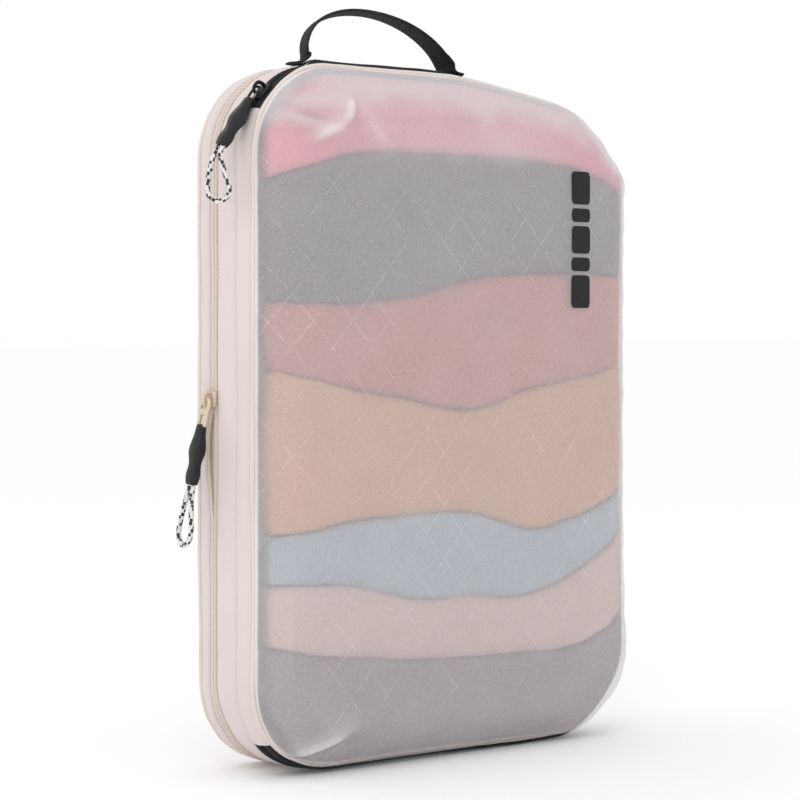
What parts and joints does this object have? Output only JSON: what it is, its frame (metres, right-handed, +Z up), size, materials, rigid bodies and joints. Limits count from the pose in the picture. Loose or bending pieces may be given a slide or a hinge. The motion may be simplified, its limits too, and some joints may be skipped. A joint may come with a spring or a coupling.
{
  "type": "packing cube",
  "caption": "Soft compression packing cube with a frosted see-through zip lid, a second zip that flattens it, a webbing handle and folded clothes inside.",
  "frame": {"origin": "on the floor, under the middle of the depth between the front and rear seams", "axes": "+Z up along the long side, the lid faces -Y, +X to the right when facing the lid"},
  "size_m": [0.2748, 0.0776, 0.3928],
  "materials": {
    "off_white_fabric": "matte",
    "cream_trim": "matte",
    "frosted_ripstop": "satin",
    "black_zip_tape": "matte",
    "black_webbing": "matte",
    "black_coil": "satin",
    "cream_coil": "satin",
    "black_metal": "satin",
    "cream_metal": "satin",
    "black_grip": "satin",
    "speckled_cord": "matte",
    "black_print": "matte",
    "pink_knit": "matte",
    "grey_knit": "matte",
    "rose_cotton": "matte",
    "sand_twill": "matte",
    "blue_cotton": "matte",
    "blush_jersey": "matte",
    "mauve_knit": "matte"
  },
  "bodies": {
    "shell": {"front_gusset": "off_white_fabric", "body_zip_tape": "black_zip_tape", "body_zip_coil": "black_coil", "lid_hinge_strip": "off_white_fabric", "main_zip_top_stop": "black_metal", "main_zip_bottom_stop": "black_metal", "front_compression_tape": "cream_trim", "front_compression_coil": "cream_coil", "front_seam_binding": "cream_trim", "expansion_gusset": "off_white_fabric", "handle_left_anchor": "black_webbing", "handle_right_anchor": "black_webbing", "folded_pink_top": "pink_knit", "folded_grey_sweater": "grey_knit", "folded_rose_shirt": "rose_cotton", "folded_sand_trousers": "sand_twill", "folded_blue_shirt": "blue_cotton", "folded_blush_tee": "blush_jersey", "folded_mauve_sweater": "mauve_knit"},
    "lid": {"lid_panel": "frosted_ripstop", "lid_welt": "cream_trim", "lid_zip_tape": "black_zip_tape", "lid_zip_coil": "black_coil", "lid_seam_binding": "cream_trim", "lid_print": "black_print"},
    "rear_section": {"rear_panel": "off_white_fabric", "rear_gusset": "off_white_fabric", "rear_welt": "cream_trim", "rear_compression_tape": "cream_trim", "rear_compression_coil": "cream_coil", "rear_seam_binding": "cream_trim"},
    "main_slider": {"main_slider_body": "black_metal", "main_slider_bail": "black_metal"},
    "main_pull": {"main_pull_link": "black_metal", "main_pull_grip": "black_grip", "main_pull_cord": "speckled_cord"},
    "compression_slider": {"compression_slider_body": "cream_metal", "compression_slider_bail": "cream_metal"},
    "compression_pull": {"compression_pull_link": "cream_metal", "compression_pull_grip": "black_grip", "compression_pull_cord": "speckled_cord"},
    "handle": {"handle_strap": "black_webbing"}
  },
  "joints": [
    {"name": "lid_hinge", "type": "hinge", "parent": "shell", "child": "lid", "pos_m": [-0.1275, -0.0214, 0.18], "axis": [0, 0, -1], "range_deg": [0, 110]},
    {"name": "expansion_slide", "type": "slide", "parent": "shell", "child": "rear_section", "axis": [0, 1, 0], "range_m": [0, 0.03], "deforming": ["expansion_gusset"]},
    {"name": "main_slider_run", "type": "hinge", "parent": "shell", "child": "main_slider", "pos_m": [-0.0795, -0.01525, 0.312], "axis": [0, 1, 0], "range_deg": [0, 34]},
    {"name": "main_pull_swing", "type": "hinge", "parent": "main_slider", "child": "main_pull", "pos_m": [-0.11859, -0.01525, 0.3472], "axis": [0, 1, 0], "range_deg": [0, 90]},
    {"name": "compression_slider_run", "type": "slide", "parent": "shell", "child": "compression_slider", "axis": [0, 0, 1], "range_m": [0, 0.12]},
    {"name": "compression_pull_swing", "type": "hinge", "parent": "compression_slider", "child": "compression_pull", "pos_m": [-0.1321, 0.01015, 0.19], "axis": [0, 1, 0], "range_deg": [0, 90]},
    {"name": "handle_tilt", "type": "hinge", "parent": "shell", "child": "handle", "pos_m": [-0.03, -0.00095, 0.3667], "axis": [1, 0, 0], "range_deg": [-28, 28], "stiffness_Nm_per_rad": 0.01}
  ]
}
